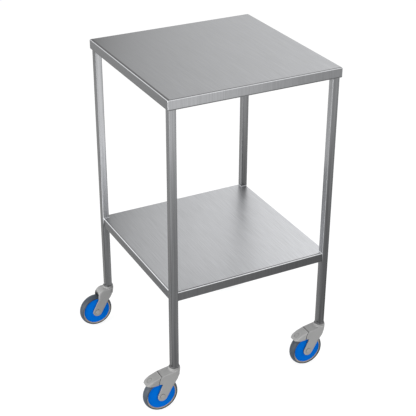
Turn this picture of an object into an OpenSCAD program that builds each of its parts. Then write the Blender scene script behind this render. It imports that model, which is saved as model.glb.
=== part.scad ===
// Dressing trolley: two folded stainless panels on four square tube legs, with a swivel caster
// under each leg. The two casters at the front have a brake pedal.
// Millimetres. The front is -Y, the floor is z = 0 and every caster trails toward -X.
// The origin is on the floor under the middle of the whole trolley's box.

/* [Trolley] */
// Height of the top panel's face above the floor
trolley_h = 900; // [700:5:1100]
// Width of the top panel along X
top_w = 490; // [400:5:900]
// Depth of the top panel along Y
top_d = 490; // [400:5:600]
// Height of the lower shelf's face above the floor
shelf_h = 359.5; // [220:0.5:500]

/* [Panels] */
// Thickness of the stainless sheet
sheet_t = 1.2; // [0.8:0.1:2]
// Height of the top panel's apron
top_apron = 27; // [20:0.5:45]
// Height of the lower shelf's apron
shelf_apron = 27.5; // [20:0.5:45]
// Outside radius of the sheet's folds and corners
fold_r = 3; // [2.2:0.1:4]
// Width of the safe edge folded inward under an apron
safe_edge = 15; // [8:0.5:25]
// Distance from the top apron's face in to the legs
leg_inset = 4.6; // [4:0.1:12]
// Distance from the legs' outer faces in to the shelf's apron
shelf_inset = 2.8; // [0.5:0.1:8]
// Gap between a leg and the sheet cut out around it
notch_gap = 0.4; // [0.2:0.1:1]

/* [Stiffeners] */
// Depth of the hat channels under the panels
hat_h = 14; // [8:0.5:18]
// Width of a hat channel's crown
hat_w = 40; // [20:1:80]
// Width of each flange of a hat channel
hat_flange = 14; // [8:1:25]
// Sheet thickness of the hat channels
hat_t = 1.2; // [0.8:0.1:2]
// Gap between a hat channel's end and the apron
hat_end_gap = 0.5; // [0.2:0.1:3]

/* [Legs] */
// Side of the square leg tube
leg_side = 20; // [17:0.5:25]
// Wall of the leg tube
leg_wall = 1.5; // [1:0.1:2]
// Outside radius of the tube's corners
leg_r = 2.5; // [2.1:0.1:4]
// Depth that a foot plug reaches up into its leg
plug_len = 42; // [30:1:80]
// Thickness of the plug's cap under the tube
plug_cap = 1.5; // [1:0.1:3]

/* [Wheel] */
// Radius of the wheel over its tread
wheel_r = 50; // [45:0.5:55]
// Width of the tread
tread_w = 26; // [20:0.5:28]
// Radial thickness of the tread
tread_t = 6; // [5:0.1:8]
// How far the tread's shoulders lie below its middle
crown_drop = 5.6; // [2:0.1:6]
// Width of the grey rim that shows round a blue cover
rim_ring = 4; // [3:0.1:5]
// Wall of the wheel covers
cover_t = 1.6; // [1:0.1:2.4]
// Width of the wheel core over its rim
rim_w = 18.6; // [14:0.2:19.6]
// Outside radius of the hub
hub_r = 12.2; // [11.5:0.1:14]
// Outside radius of a wheel bearing
wheel_brg_r = 9.5; // [8:0.5:10]
// Width of a wheel bearing
wheel_brg_w = 6; // [4:0.5:7]
// Radius of the axle tube
axle_r = 4; // [3:0.25:5]
// Wall of the axle tube
axle_wall = 1; // [0.6:0.1:1.5]

/* [Fork] */
// Distance from the swivel axis back to the axle
trail = 43; // [40:0.5:48]
// Height of the fork's deck above the tread
deck_rise = 20.5; // [18:0.1:24]
// Slope of the deck down toward the wheel, in degrees
deck_tilt = 8.3; // [4:0.1:10]
// Gap between the tread's side and a cheek
cheek_gap = 0.9; // [0.4:0.1:1.5]
// Thickness of the fork's cheeks
cheek_t = 3.3; // [2.8:0.1:4]
// Thickness of the deck and of the fork's back wall
shell_t = 2.5; // [2:0.1:3.2]
// Radius of the fork arms' ends round the axle
arm_end_r = 14.2; // [11:0.5:16]
// Radius of a plain fork's nose, seen from the side
nose_arc_r = 24; // [18:0.5:27]
// Rounding of a plain fork's long edges
nose_edge_r = 7; // [4:0.5:11]
// Wall of the collar round the leg's foot
collar_wall = 2.5; // [2:0.1:3]
// Height of the collar above the deck
collar_h = 5.2; // [5:0.1:12]
// Gap between the leg's corners and the collar
collar_gap = 0.5; // [0.4:0.1:1]

/* [Swivel] */
// Radius of the swivel pin's journal
stem_r = 5; // [4.5:0.25:6]
// Radius of the pin's upper end, in the foot plug
stem_top_r = 5.5; // [4.5:0.25:6]
// Outside radius of a swivel bearing
swivel_brg_r = 12; // [11:0.25:13]
// Width of a swivel bearing
swivel_brg_w = 8; // [6:0.5:8.5]

/* [Axle caps] */
// Radius of a cap
cap_r = 6.9; // [6:0.1:8]
// How far a cap stands out of the fork
cap_proud = 1; // [0.4:0.1:2]

/* [Brake] */
// Distance from the swivel axis to the pedal's tip
pedal_reach = 90.5; // [84:0.5:96]
// Slope of the pedal's top behind its bend, in degrees
pedal_slope = 17.7; // [12:0.1:22]
// Distance from the crease to the bend of the pedal's top
pedal_bend = 17; // [12:0.5:22]
// Radius of the bend of the pedal's top, seen from the side
pedal_arc_r = 60; // [50:1:75]
// Rounding of the pedal's long edges
pedal_edge_r = 3; // [2:0.25:4]
// Gap across the deck between the deck and the pedal
crease_gap = 1.4; // [0.9:0.1:1.5]
// Radius of the pedal's pin
pedal_pin_r = 2; // [1.5:0.1:2.5]
// Gap between the tread and the brake shoe with the brake off
shoe_gap = 3; // [2.8:0.1:4]
// Width of the brake shoe
shoe_w = 14; // [8:0.5:16]

/* [Hidden] */
$fn = 48;
big = 400;
eps = 0.01;
fit = 0.05;
seat = 0.1;

// Corners: name, sign along X, sign along Y, braked or plain
corners = [["fl", -1, -1, true], ["fr", 1, -1, true], ["bl", -1, 1, false], ["br", 1, 1, false]];
frame_nodes = ["top_panel", "top_stiffener", "lower_shelf", "shelf_stiffener"];
corner_nodes = ["leg", "plug", "stem", "swivel_bearings", "fork", "axle", "axle_caps", "wheel_bearings",
    "wheel_core", "tyre", "wheel_covers"];
brake_nodes = ["pedal", "pedal_pin", "brake_shoe"];

// Legs: the distance of each leg's axis from the panel's middle
leg_x = top_w / 2 - leg_inset - leg_side / 2;
leg_y = top_d / 2 - leg_inset - leg_side / 2;
leg_corner = leg_side / 2 * sqrt(2) - leg_r * (sqrt(2) - 1);
shelf_w = top_w - 2 * (leg_inset + shelf_inset);
shelf_d = top_d - 2 * (leg_inset + shelf_inset);
notch = leg_side + 2 * notch_gap;
hat_short = sheet_t + fold_r + hat_end_gap;

// Wheel
axle_z = wheel_r;
rim_r = wheel_r - tread_t;
cover_r = rim_r - rim_ring;
rim_wall = 2.5;
ledge_w = rim_w - 3.4;
cover_lip = 2;
hub_half = 11;
web_t = 3;
spoke_t = 2;
spoke_count = 8;
cover_rise = 1.8;

// Fork across: inner and outer faces of the cheeks
fork_in = tread_w / 2 + cheek_gap;
fork_half = fork_in + cheek_t;
back_r = fork_half - 1.4;
housing_r = fork_half - 1.8;
cup_r = leg_corner + collar_gap;
collar_r = cup_r + collar_wall;

// Fork's heights, at the swivel axis
deck_z = 2 * wheel_r + deck_rise;
rim_top = deck_z + collar_h;
cup_floor = deck_z - 1;
floor_t = 1.7;
brg_top = cup_floor - floor_t;
brg_spacer = 1.5;
brg_low = brg_top - 2 * swivel_brg_w - brg_spacer;
housing_low = brg_low - 1.5;
foot_gap = 1.3;
leg_low = cup_floor + foot_gap + plug_cap;
wheel_room = 2.5;

// Fork's outline from the side
axle = [-trail, axle_z];
arm_end = axle + [0.2, -0.8];
heel = axle + [32.6, 27];
knee = [2.7, deck_z - 25.5];
brow = axle + [1.8, 38.4];
beak = axle + [-8.2, 40.6];
deck_front = -trail - 1.2;
cheek_front = [axle + [-7.2, 49.5], axle + [-4.5, 59]];
nose_x = -trail + 3.6;
nose_low = brow[1] - 0.5;
nose_top = deck_z + 0.8;
nose_at = [nose_x + nose_arc_r, nose_top - nose_arc_r];
arch_top = 2 * wheel_r + 10;
arch_r = 6;
edge_r = 2;
pad_r = 6;
pad_gap = 0.15;
cap_seat = 2;
rivet_r = 5.6;
rivet_t = 0.8;

// Brake
pivot = axle + [13, 53];
pivot_pocket = 1.6;
ear_r = 3.8;
ear_w = 3.6;
pedal_rim_z = 2 * wheel_r - 10.3;
pedal_tip_rise = 3;
pedal_low_gap = crease_gap + 0.8;
pedal_top = [deck_front - crease_gap, deck_at(deck_front)];
pedal_bend_at = pedal_top - pedal_bend * [1, tan(pedal_slope)];
pedal_arc_at = pedal_bend_at + pedal_arc_r * [sin(pedal_slope), -cos(pedal_slope)];
soft_r = 9;
soft_rise = 14;
soft_slope = 36;
pedal_tread_room = 4.7;
web_x = pedal_top[0] - 7.3;
shoe_len = 6.5;
shoe_back = web_x - 0.8;

// The origin is under the middle of the box: casters reach out to the left
reach_left = leg_x + max(trail + wheel_r, pedal_reach);
reach_right = max(top_w / 2, leg_x + back_r);
middle_x = (reach_left - reach_right) / 2;

function deck_at(x) = deck_z + x * tan(deck_tilt);
// Point where a line from p touches the circle of radius r round c, on the side given by s
function touch(p, c, r, s) =
    let (v = p - c, a = atan2(v[1], v[0]) + s * acos(r / norm(v)))
    c + r * [cos(a), sin(a)];

// Places a corner's pieces: the swivel axis at x = y = 0
module at_corner(c) {
    translate([middle_x + c[1] * leg_x, c[2] * leg_y, 0]) children();
}

// Places a shape that is turned about its own Z axis on the wheel's axle
module on_axle() {
    translate([axle[0], 0, axle[1]]) rotate([90, 0, 0]) children();
}

// A flat outline in X and Z given thickness along Y, centred
module side(width) {
    translate([0, width / 2, 0]) rotate([90, 0, 0]) linear_extrude(width) children();
}

// A flat outline in Y and Z run along X, centred
module along(length) {
    rotate([90, 0, 90]) translate([0, 0, -length / 2]) linear_extrude(length) children();
}

module box2(w, d) {
    translate([-w / 2, -d / 2]) square([w, d]);
}

module round_square(w, d, r) {
    box2(w - 2 * r, d);
    box2(w, d - 2 * r);
    for (x = [-1, 1]) for (y = [-1, 1])
        translate([x * (w / 2 - r), y * (d / 2 - r)]) circle(r);
}

// Block with all its edges round, its top face at z = 0
module round_block(w, d, h, r) {
    translate([0, 0, r - h]) linear_extrude(h - 2 * r) round_square(w, d, r);
    translate([0, 0, -h]) linear_extrude(h) box2(w - 2 * r, d - 2 * r);
    for (z = [-r, r - h]) {
        for (y = [-1, 1])
            translate([r - w / 2, y * (d / 2 - r), z]) rotate([0, 90, 0]) cylinder(w - 2 * r, r, r);
        for (x = [-1, 1]) {
            translate([x * (w / 2 - r), d / 2 - r, z]) rotate([90, 0, 0]) cylinder(d - 2 * r, r, r);
            for (y = [-1, 1])
                translate([x * (w / 2 - r), y * (d / 2 - r), z]) sphere(r);
        }
    }
}

// Sheet folded down on four sides and in again under them, its face at z = 0
module folded_panel(w, d, h) {
    both = 2 * sheet_t;
    difference() {
        round_block(w, d, h, fold_r);
        translate([0, 0, -sheet_t]) round_block(w - both, d - both, h - both, fold_r - sheet_t);
        translate([0, 0, -h - 1]) linear_extrude(sheet_t + 2) box2(w - 2 * safe_edge, d - 2 * safe_edge);
    }
}

module top_panel() {
    color("gainsboro") translate([middle_x, 0, trolley_h]) difference() {
        folded_panel(top_w, top_d, top_apron);
        for (c = corners)
            translate([c[1] * leg_x, c[2] * leg_y, -top_apron - 1])
                linear_extrude(sheet_t + 2) box2(notch, notch);
    }
}

// The corners are cut away round the legs, so that the aprons run between them
module lower_shelf() {
    cut = notch + leg_inset + shelf_inset;
    out = (cut - notch) / 2;
    color("gainsboro") translate([middle_x, 0, shelf_h]) difference() {
        folded_panel(shelf_w, shelf_d, shelf_apron);
        for (c = corners)
            translate([c[1] * (leg_x + out), c[2] * (leg_y + out), -shelf_apron - 1])
                linear_extrude(shelf_apron + 2) box2(cut, cut);
    }
}

// Hat channel, flanges up, its flanges against the sheet above at z = 0
module hat_channel(length) {
    color("silver") along(length) {
        for (s = [-1, 1]) {
            translate([s * (hat_w + hat_flange) / 2, -hat_t / 2]) box2(hat_flange + eps, hat_t);
            translate([s * (hat_w - hat_t) / 2, -hat_h / 2]) box2(hat_t, hat_h);
        }
        translate([0, hat_t / 2 - hat_h]) box2(hat_w, hat_t);
    }
}

module top_stiffener() {
    translate([middle_x, 0, trolley_h - sheet_t]) hat_channel(top_w - 2 * hat_short);
}

module shelf_stiffener() {
    translate([middle_x, 0, shelf_h - sheet_t]) hat_channel(shelf_w - 2 * hat_short);
}

module leg() {
    length = trolley_h - sheet_t - leg_low;
    bore = leg_side - 2 * leg_wall;
    color("lightgray") translate([0, 0, leg_low]) linear_extrude(length) difference() {
        round_square(leg_side, leg_side, leg_r);
        round_square(bore, bore, max(leg_r - leg_wall, 0.4));
    }
}

// Plug in the leg's foot: a grooved body, a cap under the tube and a bore for the pin
module plug() {
    body = leg_side - 2 * leg_wall - 2 * seat;
    groove = 1.2;
    foot = leg_low - plug_cap;
    bore = stem_top_r + fit;
    color("dimgray") difference() {
        union() {
            translate([0, 0, leg_low]) linear_extrude(plug_len) round_square(body, body, 1);
            translate([0, 0, foot]) linear_extrude(plug_cap) round_square(leg_side, leg_side, leg_r);
        }
        for (a = [0:90:270]) rotate(a)
            translate([body / 2 - groove, -groove, leg_low + 4]) cube([groove + 1, 2 * groove, plug_len]);
        translate([0, 0, foot - 1]) cylinder(plug_len + plug_cap + 2, bore, bore);
    }
}

// Swivel pin: a riveted head, the journal, a shoulder under the plug and a grooved upper end
module stem() {
    head_t = 2;
    head_low = brg_low - seat - head_t;
    shoulder_r = stem_r + 2.6;
    shoulder_low = brg_top + seat;
    shoulder_top = leg_low - plug_cap;
    tip = leg_low + plug_len - 4;
    color("silver") difference() {
        union() {
            translate([0, 0, head_low]) cylinder(head_t, shoulder_r - 0.8, shoulder_r - 0.8);
            translate([0, 0, head_low]) cylinder(shoulder_low - head_low + 1, stem_r, stem_r);
            translate([0, 0, shoulder_low]) cylinder(shoulder_top - shoulder_low, shoulder_r, shoulder_r);
            translate([0, 0, shoulder_low]) cylinder(tip - shoulder_low - 1, stem_top_r, stem_top_r);
            translate([0, 0, tip - 1]) cylinder(1, stem_top_r, stem_top_r - 1);
        }
        translate([0, 0, tip - 7]) rotate_extrude() translate([stem_top_r - 0.6, 0]) square([1, 1.5]);
    }
}

// Ball bearing about Z, its lower face at z = 0
module ball_bearing(outer, inner, width) {
    ball_r = (outer - inner) / 4.4;
    pitch = (outer + inner) / 2;
    race = (outer - inner) / 3.2;
    rotate_extrude() difference() {
        union() {
            translate([inner, 0]) square([race, width]);
            translate([outer - race, 0]) square([race, width]);
        }
        translate([pitch, width / 2]) circle(ball_r + fit);
    }
    for (a = [0:360 / 9:359]) rotate(a) translate([pitch, 0, width / 2]) sphere(ball_r);
}

module swivel_bearings() {
    color("silver") for (z = [brg_low, brg_top - swivel_brg_w])
        translate([0, 0, z]) ball_bearing(swivel_brg_r, stem_r + fit, swivel_brg_w);
}

// Room for the turning wheel, as a drum about the axle
module wheel_drum(r, width) {
    on_axle() translate([0, 0, -width / 2]) cylinder(width, r, r);
}

// Section across the wheel of a drum about the axle's direction, with round edges
module drum_section(r, half, edge) {
    translate([0, -half]) square([r - edge, 2 * half]);
    translate([0, edge - half]) square([r, 2 * (half - edge)]);
    for (s = [-1, 1]) translate([r - edge, s * (half - edge)]) circle(edge);
}

// Side outline of the whole fork: arm round the axle, back edge up to the swivel, front edge
module fork_outline(braked) {
    back = [touch(heel, arm_end, arm_end_r, -1), heel, knee, [back_r, deck_z], [back_r, rim_top]];
    front_braked = [
        [deck_front, rim_top], [deck_front, deck_at(deck_front)],
        cheek_front[1], cheek_front[0], beak, brow
    ];
    front_plain = [[nose_x - 1, rim_top], [nose_x - 1, nose_low], [nose_x + 1.3, nose_low]];
    front = braked ? front_braked : front_plain;
    translate(arm_end) circle(arm_end_r);
    polygon(concat(back, front, [touch(front[len(front) - 1], arm_end, arm_end_r, 1), arm_end]));
}

// Upper body of a braked fork across the wheel: flat deck, tilted, with round shoulders
module deck_form(half, drop, edge) {
    rotate([0, -deck_tilt, 0]) along(big)
        translate([0, deck_z * cos(deck_tilt) - drop - big / 2]) round_square(2 * half, big, edge);
}

// Upper body of a plain fork: level top, upright front and the nose's arc between, all with round edges
module nose_form(half, drop, edge) {
    arc = nose_arc_r - drop;
    translate([nose_at[0] + big / 2, 0, nose_at[1]]) along(big)
        translate([0, arc - big / 2]) round_square(2 * half, big, edge);
    translate([nose_at[0] - arc + big / 2, 0, nose_at[1] - big]) linear_extrude(big)
        round_square(big, 2 * half, edge);
    translate([nose_at[0], 0, nose_at[1]]) rotate([90, 0, 0])
        rotate_extrude() drum_section(arc, half, edge);
}

module body_form(braked, half, drop, edge) {
    if (braked) deck_form(half, drop, min(edge, edge_r));
    else {
        nose_form(half, drop, edge);
        translate([0, 0, nose_low / 2]) cube([big, 2 * half, nose_low], center = true);
    }
}

// The body seen from above: straight cheeks with the swivel's round back
module plan_form() {
    linear_extrude(big) translate([back_r - fork_half, 0]) {
        circle(fork_half);
        translate([-big, -fork_half]) square([big, 2 * fork_half]);
    }
}

// Space between the cheeks: under the top and before the back wall
module fork_slot(braked) {
    intersection() {
        side(2 * fork_in) polygon([
            [-big, -big], [big, -big], [big, heel[1]], [heel[0] - shell_t, heel[1]],
            [knee[0] - shell_t, knee[1]], [back_r - shell_t, deck_z], [back_r - shell_t, big], [-big, big]
        ]);
        if (braked) deck_form(fork_in, shell_t, arch_r);
        else nose_form(fork_in, shell_t, arch_r);
    }
    if (!braked) translate([nose_at[0] - big / 2, 0, arch_top - big / 2]) along(big)
        round_square(2 * fork_in, big, arch_r);
}

// Housing of the swivel bearings, wider toward the top
module swivel_housing() {
    low_r = swivel_brg_r + 2.4;
    rotate_extrude() polygon([
        [0, housing_low], [low_r - 1.2, housing_low], [low_r, housing_low + 1.2],
        [housing_r, deck_z - 7], [housing_r, rim_top], [0, rim_top]
    ]);
}

// Collar, thinner toward its rim, later bored for the leg's foot
module collar() {
    low = deck_z - 6;
    lip = 0.9;
    rotate_extrude() polygon([
        [0, low], [collar_r, low], [collar_r, rim_top - 7], [collar_r - 0.6, rim_top - 3.5],
        [cup_r + lip, rim_top - 0.4], [cup_r + lip - 0.4, rim_top], [0, rim_top]
    ]);
}

// Ribs under the top of a plain fork, from the swivel housing to the nose
module nose_ribs() {
    rib_t = 2;
    intersection() {
        for (y = [-1, 0, 1]) translate([0, y * fork_in / 2, 0]) side(rib_t) difference() {
            translate([nose_x + 1, arch_top - 5]) square([-nose_x - 12, big]);
            translate(axle) circle(wheel_r + 2 * wheel_room);
        }
        nose_form(fork_half - 1, 1, nose_edge_r);
    }
}

module fork(braked) {
    face = fork_half - cap_seat;
    color([0.6, 0.61, 0.62]) difference() {
        union() {
            difference() {
                intersection() {
                    side(2 * fork_half) fork_outline(braked);
                    body_form(braked, fork_half, 0, nose_edge_r);
                    plan_form();
                }
                fork_slot(braked);
            }
            intersection() {
                swivel_housing();
                body_form(braked, fork_half, 0, nose_edge_r);
            }
            collar();
            if (!braked) nose_ribs();
            for (s = [-1, 1]) on_axle() translate([0, 0, s * (hub_half + pad_gap + fork_in + eps) / 2])
                linear_extrude(fork_in + eps - hub_half - pad_gap, center = true) circle(pad_r);
        }
        wheel_drum(wheel_r + wheel_room, 2 * (hub_half + pad_gap));
        difference() {
            wheel_drum(wheel_r + wheel_room, 2 * fork_in);
            wheel_drum(pad_r + 1, 2 * fork_in + 1);
        }
        translate([0, 0, housing_low - 1]) cylinder(brg_top - housing_low + 1, swivel_brg_r, swivel_brg_r);
        translate([0, 0, housing_low]) cylinder(big, stem_r + 3.4, stem_r + 3.4);
        translate([0, 0, cup_floor]) cylinder(big, cup_r, cup_r);
        wheel_drum(axle_r + fit / 2, 3 * fork_half);
        for (s = [-1, 1]) on_axle() translate([0, 0, s * (face + 5)])
            linear_extrude(10, center = true) circle(cap_r + seat);
        if (braked) translate([pivot[0], 0, pivot[1]]) rotate([90, 0, 0])
            linear_extrude(2 * (fork_in + pivot_pocket), center = true) circle(pedal_pin_r + fit / 2);
    }
}

// Axle: a tube riveted over at both ends
module axle_tube() {
    face = fork_half - cap_seat;
    color("silver") on_axle() rotate_extrude() {
        translate([axle_r - axle_wall, -face - rivet_t]) square([axle_wall, 2 * (face + rivet_t)]);
        for (s = [-1, 1]) translate([axle_r - axle_wall, s * (face + rivet_t / 2) - rivet_t / 2])
            square([rivet_r - axle_r + axle_wall, rivet_t]);
    }
}

// Caps over the axle's ends: a slightly domed disc on a spigot in the tube
module axle_caps() {
    low = fork_half - cap_seat + rivet_t + seat;
    top = fork_half + cap_proud;
    dome = 0.5;
    dome_sphere = (cap_r * cap_r + dome * dome) / (2 * dome);
    color([0.6, 0.61, 0.62]) for (a = [0, 180]) on_axle() rotate([a, 0, 0]) intersection() {
        union() {
            translate([0, 0, low]) cylinder(big, cap_r, cap_r);
            translate([0, 0, low - 6]) cylinder(7, axle_r - axle_wall - seat, axle_r - axle_wall - seat);
        }
        translate([0, 0, top - dome_sphere]) sphere(dome_sphere, $fn = 96);
    }
}

module wheel_bearings() {
    color("silver") for (s = [0, 1]) on_axle() mirror([0, 0, s])
        translate([0, 0, hub_half - wheel_brg_w]) ball_bearing(wheel_brg_r, axle_r + fit, wheel_brg_w);
}

// Core: rim with a ledge for each cover, thin web, spokes and hub with bearing seats
module wheel_core() {
    bore = wheel_brg_r - 1;
    ledge_r = cover_r - cover_lip;
    color([0.55, 0.54, 0.52]) on_axle() difference() {
        union() {
            rotate_extrude() {
                translate([rim_r - rim_wall, -rim_w / 2]) square([rim_wall, rim_w]);
                translate([ledge_r, -ledge_w / 2]) square([rim_r - ledge_r - 1, ledge_w]);
                translate([bore, -web_t / 2]) square([rim_r - bore - 1, web_t]);
                translate([bore, -hub_half]) square([hub_r - bore, 2 * hub_half]);
            }
            for (a = [0:360 / spoke_count:359]) rotate(a)
                translate([hub_r - 1, -spoke_t / 2, -ledge_w / 2])
                    cube([cover_r - hub_r, spoke_t, ledge_w]);
        }
        for (s = [-1, 1]) translate([0, 0, s * (hub_half - wheel_brg_w / 2 + 1)])
            linear_extrude(wheel_brg_w + 2, center = true) circle(wheel_brg_r);
        for (s = [-1, 1]) translate([0, 0, s * (ledge_w + 10) / 2])
            linear_extrude(10, center = true) circle(cover_r + fit);
    }
}

// Tread with a gentle crown
module tyre() {
    half = tread_w / 2;
    crown_r = (half * half + crown_drop * crown_drop) / (2 * crown_drop);
    bead = rim_w / 2 + 0.4;
    shoulder = wheel_r - crown_drop - 0.5;
    color([0.27, 0.32, 0.38]) on_axle() rotate_extrude() intersection() {
        polygon([
            [rim_r, -bead], [shoulder, -half], [wheel_r + 1, -half],
            [wheel_r + 1, half], [shoulder, half], [rim_r, bead]
        ]);
        translate([wheel_r - crown_r, 0]) circle(crown_r, $fn = 96);
    }
}

// Covers: a lip on the rim's ledge and a shallow cone up to the hub
module wheel_covers() {
    low = ledge_w / 2 + fit;
    lip_top = low + cover_t;
    hub_hole = hub_r + seat;
    color([0, 0.38, 0.82]) for (s = [0, 1]) on_axle() mirror([0, 0, s]) rotate_extrude() polygon([
        [hub_hole, lip_top + cover_rise - cover_t], [cover_r - cover_lip, low], [cover_r, low],
        [cover_r, lip_top], [cover_r - cover_lip / 2, lip_top], [hub_hole, lip_top + cover_rise]
    ]);
}

// The pedal's tongue seen from above
module pedal_plan(half) {
    tip = fork_half - pedal_reach;
    linear_extrude(big) {
        translate([tip, 0]) circle(half);
        translate([tip, -half]) square([-tip, 2 * half]);
    }
}

// Pedal's outer form: a straight and then bent top with round long edges, and a second, steeper form
// that softens the edges more and more toward the tip
module pedal_form() {
    width = 2 * fork_half;
    intersection() {
        pedal_plan(fork_half);
        translate([pedal_arc_at[0], 0, pedal_arc_at[1]]) {
            rotate([90, 0, 0]) rotate_extrude() drum_section(pedal_arc_r, fork_half, pedal_edge_r);
            rotate([0, -pedal_slope, 0]) translate([big / 2, 0, 0]) along(big)
                translate([0, pedal_arc_r - big / 2]) round_square(width, big, pedal_edge_r);
        }
        translate([pedal_top[0], 0, pedal_top[1] + soft_rise]) rotate([0, -soft_slope, 0])
            along(big) translate([0, -big / 2]) round_square(width, big, soft_r);
    }
}

// Hollow under the pedal's shell, or what fits it
module pedal_hollow(inset) {
    half = fork_half - inset;
    intersection() {
        pedal_plan(half);
        side(2 * half + 1) intersection() {
            translate(pedal_arc_at) {
                circle(pedal_arc_r - inset);
                rotate(pedal_slope) translate([0, pedal_arc_r - inset - big]) square(big);
            }
            translate(pedal_top + [0, soft_rise - inset]) rotate(soft_slope)
                translate([-big / 2, -big]) square(big);
        }
    }
}

// Side outline of the pedal: rim below, open to the top, its back edge beside the fork's front
module pedal_outline() {
    gap = [crease_gap, 0];
    tip_z = pedal_rim_z + pedal_tip_rise;
    polygon([
        [-pedal_reach - 1, tip_z], [-pedal_reach + 10, tip_z - 0.6], [-pedal_reach + 20, pedal_rim_z],
        [beak[0] - pedal_low_gap, pedal_rim_z], cheek_front[0] - gap, cheek_front[1] - gap,
        pedal_top - [0, 1], [pedal_top[0], big], [-pedal_reach - 1, big]
    ]);
}

// Pedal: a shell over the tread, with two ears back to the pin and a socket for the shoe
module pedal() {
    ear_in = fork_in - 0.4 - ear_w;
    ear_root = [web_x - 0.5, pivot[1] + 3.6];
    socket_t = 2;
    socket_x = shoe_back - shoe_len - socket_t - seat;
    color([0.6, 0.61, 0.62]) difference() {
        union() {
            intersection() {
                difference() {
                    pedal_form();
                    intersection() {
                        pedal_hollow(cheek_t);
                        translate([web_x - big, -big / 2, 0]) cube([big, big, big]);
                    }
                }
                side(2 * fork_half + 2) pedal_outline();
            }
            intersection() {
                pedal_hollow(cheek_t - 0.5);
                translate([socket_x, -shoe_w / 2 - 1, pivot[1] + 1]) cube([socket_t, shoe_w + 2, big]);
            }
            for (s = [-1, 1]) translate([0, s * (ear_in + ear_w / 2), 0]) side(ear_w) {
                translate(pivot) circle(ear_r);
                polygon([pivot + [0, ear_r], ear_root, ear_root - [0, 5.5], pivot - [0, ear_r]]);
            }
        }
        wheel_drum(wheel_r + pedal_tread_room, 2 * ear_in);
        wheel_drum(wheel_r + 1, 2 * fork_in);
        translate([pivot[0], 0, pivot[1]]) rotate([90, 0, 0])
            linear_extrude(2 * fork_half, center = true) circle(pedal_pin_r + fit);
    }
}

module pedal_pin() {
    length = 2 * (fork_in + pivot_pocket - seat);
    color("silver") translate([pivot[0], 0, pivot[1]]) rotate([90, 0, 0])
        linear_extrude(length, center = true) circle(pedal_pin_r);
}

// Shoe in the pedal's socket, its face hollowed to the tread
module brake_shoe() {
    color([0.2, 0.2, 0.21]) difference() {
        intersection() {
            translate([shoe_back - shoe_len, -shoe_w / 2, axle_z]) cube([shoe_len, shoe_w, big]);
            pedal_hollow(cheek_t + seat);
        }
        wheel_drum(wheel_r + shoe_gap, 2 * fork_in);
    }
}

top_panel();
top_stiffener();
lower_shelf();
shelf_stiffener();
for (c = corners) {
    at_corner(c) leg();
    at_corner(c) plug();
    at_corner(c) stem();
    at_corner(c) swivel_bearings();
    at_corner(c) fork(c[3]);
    at_corner(c) axle_tube();
    at_corner(c) axle_caps();
    at_corner(c) wheel_bearings();
    at_corner(c) wheel_core();
    at_corner(c) tyre();
    at_corner(c) wheel_covers();
}
for (c = corners) if (c[3]) {
    at_corner(c) pedal();
    at_corner(c) pedal_pin();
    at_corner(c) brake_shoe();
}
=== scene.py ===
import math

import bmesh
import bpy
from mathutils import Euler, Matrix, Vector


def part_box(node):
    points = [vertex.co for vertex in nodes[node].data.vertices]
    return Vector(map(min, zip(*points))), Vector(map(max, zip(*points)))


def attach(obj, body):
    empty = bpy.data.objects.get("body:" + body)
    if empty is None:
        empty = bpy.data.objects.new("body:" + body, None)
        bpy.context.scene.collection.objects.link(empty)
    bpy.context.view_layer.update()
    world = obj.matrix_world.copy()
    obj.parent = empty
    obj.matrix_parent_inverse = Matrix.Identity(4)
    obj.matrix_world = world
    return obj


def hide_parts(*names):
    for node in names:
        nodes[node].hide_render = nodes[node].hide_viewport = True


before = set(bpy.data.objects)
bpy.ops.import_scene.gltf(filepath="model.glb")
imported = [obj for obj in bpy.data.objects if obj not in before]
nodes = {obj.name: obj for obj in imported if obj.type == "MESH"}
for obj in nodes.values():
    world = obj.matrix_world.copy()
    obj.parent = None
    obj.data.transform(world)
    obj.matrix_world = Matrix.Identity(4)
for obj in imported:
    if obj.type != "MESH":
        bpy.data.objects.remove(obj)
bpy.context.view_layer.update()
topLow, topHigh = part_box("top_panel")
shelfLow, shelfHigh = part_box("lower_shelf")
tableMiddle = (topLow + topHigh) / 2
allCorners = ("fl", "fr", "bl", "br")
brakedCorners = ("fl", "fr")
axisX, axisY, axisZ = (1.0, 0.0, 0.0), (0.0, 1.0, 0.0), (0.0, 0.0, 1.0)
print("stage: frame loaded,", len(nodes), "nodes")


# Camera at the photograph's place, measured from the floor under the middle of the top
cameraLook = {
    "place": (-1.23519, -2.3516, 1.85798),
    "turn": (61.9322, -0.2217, -27.4014),  # degrees
    "lens": 92.82,
    "sensor": 36.0,
    "farthest": 100.0,
}

# Stage: pale floor, white surround and soft lamps
stageLook = {
    "floorReach": 14.0,
    "floorTone": 0.3,
    "floorGlow": 0.83,  # what the floor adds where it is seen
    "surround": 0.55,  # how strongly the surround lights the object
    "lamps": {  # place from the floor under the top, side of the square, power
        "leftSoft": ((-3.3, -0.4, 0.9), 2.0, 92.0),
        "frontSoft": ((-0.9, -3.6, 2.4), 2.2, 40.0),
        "rightSoft": ((3.2, -1.4, 1.8), 2.0, 25.0),
    },
    "aim": (0.0, 0.0, 0.5),
    "mirrored": ("leftSoft",),  # lamps that the steel shows
}


def makeCamera():
    data = bpy.data.cameras.new("photoCamera")
    data.lens = cameraLook["lens"]
    data.sensor_width = cameraLook["sensor"]
    data.clip_end = cameraLook["farthest"]
    camera = bpy.data.objects.new("photoCamera", data)
    x, y, z = cameraLook["place"]
    camera.location = (tableMiddle.x + x, tableMiddle.y + y, z)
    camera.rotation_euler = Euler([math.radians(angle) for angle in cameraLook["turn"]])
    bpy.context.scene.collection.objects.link(camera)
    bpy.context.scene.camera = camera


# Material helpers
def newMaterial(name):
    material = bpy.data.materials.new(name)
    material.use_nodes = True
    tree = material.node_tree
    return material, tree, tree.nodes["Principled BSDF"]


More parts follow.
